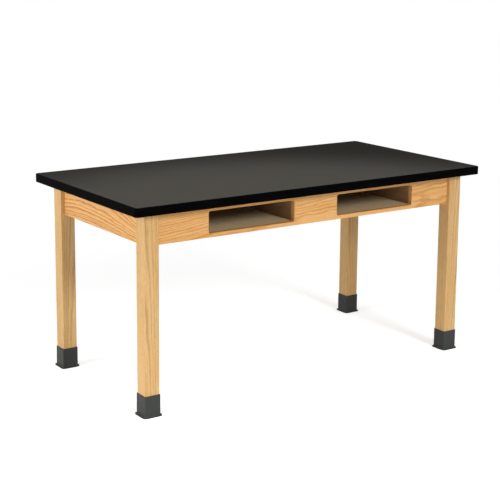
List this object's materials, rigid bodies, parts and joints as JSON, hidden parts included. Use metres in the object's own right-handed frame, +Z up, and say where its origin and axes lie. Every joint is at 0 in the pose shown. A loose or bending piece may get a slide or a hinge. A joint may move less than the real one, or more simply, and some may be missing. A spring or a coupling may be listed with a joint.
{
  "type": "science lab table",
  "caption": "Laboratory work table with a dark laminate top on a square-legged oak frame, open book compartments in the front apron, and levelling feet under slip-on boots.",
  "frame": {"origin": "on the floor under the middle of the top", "axes": "+X along the length, +Z up, and the book compartments open towards -Y, the front"},
  "size_m": [1.524, 0.762, 0.737],
  "materials": {
    "oak": "clear satin lacquer",
    "plywood": "plain sanded",
    "particleboard": "raw board",
    "charcoal_laminate": "fine-textured high-pressure laminate",
    "backer_sheet": "plain phenolic balancing sheet",
    "black_edge_band": "satin moulded edge",
    "grey_boot": "satin moulded vinyl",
    "black_nylon": "moulded nylon",
    "zinc_steel": "bright zinc plate"
  },
  "bodies": {
    "table": {"bracket_screws": "zinc_steel", "cleat_screws": "zinc_steel", "corner_bracket_front_left": "zinc_steel", "corner_bracket_front_right": "zinc_steel", "corner_bracket_rear_left": "zinc_steel", "corner_bracket_rear_right": "zinc_steel", "front_apron": "oak", "hanger_bolts": "zinc_steel", "hanger_nuts": "zinc_steel", "hanger_washers": "zinc_steel", "left_compartment_back": "plywood", "left_compartment_floor": "plywood", "left_compartment_inner_side": "plywood", "left_compartment_outer_side": "plywood", "left_end_apron": "oak", "left_inner_cleat": "plywood", "left_outer_cleat": "plywood", "leg_front_left": "oak", "leg_front_right": "oak", "leg_rear_left": "oak", "leg_rear_right": "oak", "leveller_inserts": "zinc_steel", "rear_apron": "oak", "right_compartment_back": "plywood", "right_compartment_floor": "plywood", "right_compartment_inner_side": "plywood", "right_compartment_outer_side": "plywood", "right_end_apron": "oak", "right_inner_cleat": "plywood", "right_outer_cleat": "plywood", "top_clip_screws": "zinc_steel", "top_clips": "zinc_steel", "worktop_backer": "backer_sheet", "worktop_core": "particleboard", "worktop_edge_band": "black_edge_band", "worktop_laminate": "charcoal_laminate"},
    "boot_front_left": {"boot_front_left": "grey_boot"},
    "leveller_pad_front_left": {"leveller_pad_front_left": "black_nylon"},
    "leveller_stem_front_left": {"leveller_stem_front_left": "zinc_steel"},
    "boot_front_right": {"boot_front_right": "grey_boot"},
    "leveller_pad_front_right": {"leveller_pad_front_right": "black_nylon"},
    "leveller_stem_front_right": {"leveller_stem_front_right": "zinc_steel"},
    "boot_rear_right": {"boot_rear_right": "grey_boot"},
    "leveller_pad_rear_right": {"leveller_pad_rear_right": "black_nylon"},
    "leveller_stem_rear_right": {"leveller_stem_rear_right": "zinc_steel"},
    "boot_rear_left": {"boot_rear_left": "grey_boot"},
    "leveller_pad_rear_left": {"leveller_pad_rear_left": "black_nylon"},
    "leveller_stem_rear_left": {"leveller_stem_rear_left": "zinc_steel"}
  },
  "joints": [
    {"name": "boot_lift_front_left", "type": "slide", "parent": "table", "child": "boot_front_left", "axis": [0, 0, 1], "range_m": [-0.018, 0.06]},
    {"name": "leveller_extend_front_left", "type": "slide", "parent": "table", "child": "leveller_pad_front_left", "axis": [0, 0, -1], "range_m": [0, 0.018]},
    {"name": "leveller_turn_front_left", "type": "hinge", "parent": "leveller_pad_front_left", "child": "leveller_stem_front_left", "pos_m": [-0.679, -0.308, 0.008], "axis": [0, 0, -1], "range_deg": [0, 4321]},
    {"name": "boot_lift_front_right", "type": "slide", "parent": "table", "child": "boot_front_right", "axis": [0, 0, 1], "range_m": [-0.018, 0.06]},
    {"name": "leveller_extend_front_right", "type": "slide", "parent": "table", "child": "leveller_pad_front_right", "axis": [0, 0, -1], "range_m": [0, 0.018]},
    {"name": "leveller_turn_front_right", "type": "hinge", "parent": "leveller_pad_front_right", "child": "leveller_stem_front_right", "pos_m": [0.679, -0.308, 0.008], "axis": [0, 0, -1], "range_deg": [0, 4321]},
    {"name": "boot_lift_rear_right", "type": "slide", "parent": "table", "child": "boot_rear_right", "axis": [0, 0, 1], "range_m": [-0.018, 0.06]},
    {"name": "leveller_extend_rear_right", "type": "slide", "parent": "table", "child": "leveller_pad_rear_right", "axis": [0, 0, -1], "range_m": [0, 0.018]},
    {"name": "leveller_turn_rear_right", "type": "hinge", "parent": "leveller_pad_rear_right", "child": "leveller_stem_rear_right", "pos_m": [0.679, 0.308, 0.008], "axis": [0, 0, -1], "range_deg": [0, 4321]},
    {"name": "boot_lift_rear_left", "type": "slide", "parent": "table", "child": "boot_rear_left", "axis": [0, 0, 1], "range_m": [-0.018, 0.06]},
    {"name": "leveller_extend_rear_left", "type": "slide", "parent": "table", "child": "leveller_pad_rear_left", "axis": [0, 0, -1], "range_m": [0, 0.018]},
    {"name": "leveller_turn_rear_left", "type": "hinge", "parent": "leveller_pad_rear_left", "child": "leveller_stem_rear_left", "pos_m": [-0.679, 0.308, 0.008], "axis": [0, 0, -1], "range_deg": [0, 4321]}
  ],
  "couplings": [
    {"joint": "leveller_turn_front_left", "follows": "leveller_extend_front_left", "rad_per_m": 4188.8},
    {"joint": "leveller_turn_front_right", "follows": "leveller_extend_front_right", "rad_per_m": 4188.8},
    {"joint": "leveller_turn_rear_right", "follows": "leveller_extend_rear_right", "rad_per_m": 4188.8},
    {"joint": "leveller_turn_rear_left", "follows": "leveller_extend_rear_left", "rad_per_m": 4188.8}
  ]
}
